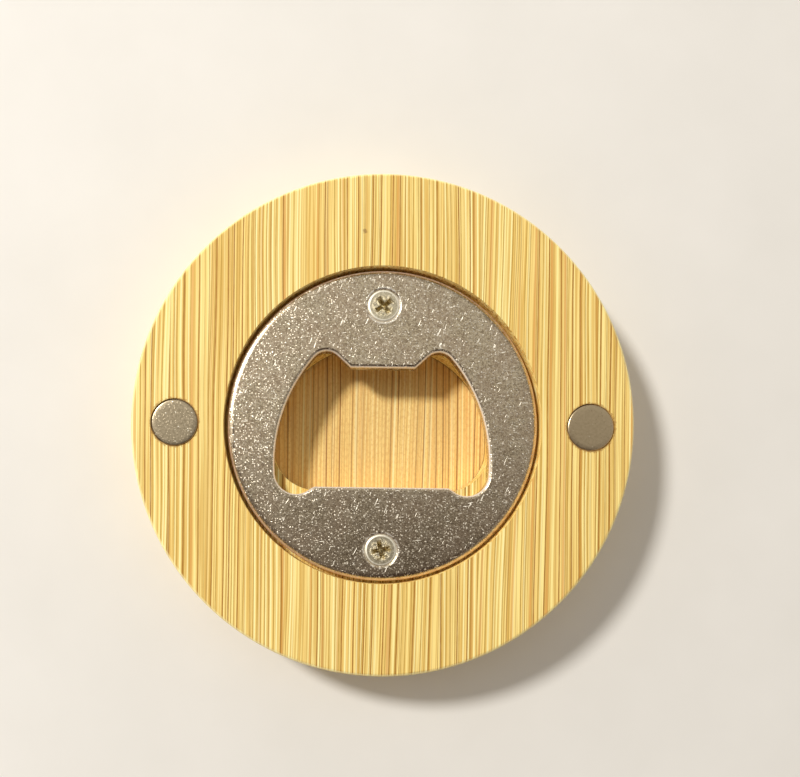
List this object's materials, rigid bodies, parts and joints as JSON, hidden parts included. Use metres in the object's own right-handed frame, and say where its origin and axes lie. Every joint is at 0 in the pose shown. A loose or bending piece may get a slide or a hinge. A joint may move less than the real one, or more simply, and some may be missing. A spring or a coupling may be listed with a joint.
{
  "type": "magnetic bottle opener",
  "caption": "Round bamboo bottle opener with a recessed steel opener plate, countersunk screws and flush magnets that hold it to a steel door.",
  "frame": {"origin": "middle of the front face, which lies on the table, 10 mm below the face that clings to a door", "axes": "+Z out of the back face, towards the door; +Y towards the lip of the mouth and along the bamboo's grain; +X towards the right-hand magnet"},
  "size_m": [0.065, 0.065, 0.01],
  "materials": {
    "bamboo": "sanded, unlacquered, fine straight grain along Y",
    "plate_steel": "tumbled and nickel plated, speckled with short fine scratches",
    "screw_steel": "nickel plated, slightly yellow in the cross recess",
    "magnet_plating": "dull nickel plating",
    "set_glue": "clear adhesive, set"
  },
  "bodies": {
    "root": {"bamboo_strip_01": "bamboo", "bamboo_strip_02": "bamboo", "bamboo_strip_03": "bamboo", "bamboo_strip_04": "bamboo", "bamboo_strip_05": "bamboo", "bamboo_strip_06": "bamboo", "bamboo_strip_07": "bamboo", "bamboo_strip_08": "bamboo", "bamboo_strip_09": "bamboo", "bamboo_strip_10": "bamboo", "bamboo_strip_11": "bamboo", "bamboo_strip_12": "bamboo", "bamboo_strip_13": "bamboo", "opener_plate": "plate_steel", "screw_lip_side": "screw_steel", "screw_base_side": "screw_steel", "magnet_left": "magnet_plating", "magnet_right": "magnet_plating", "magnet_glue_left": "set_glue", "magnet_glue_right": "set_glue"}
  },
  "joints": []
}
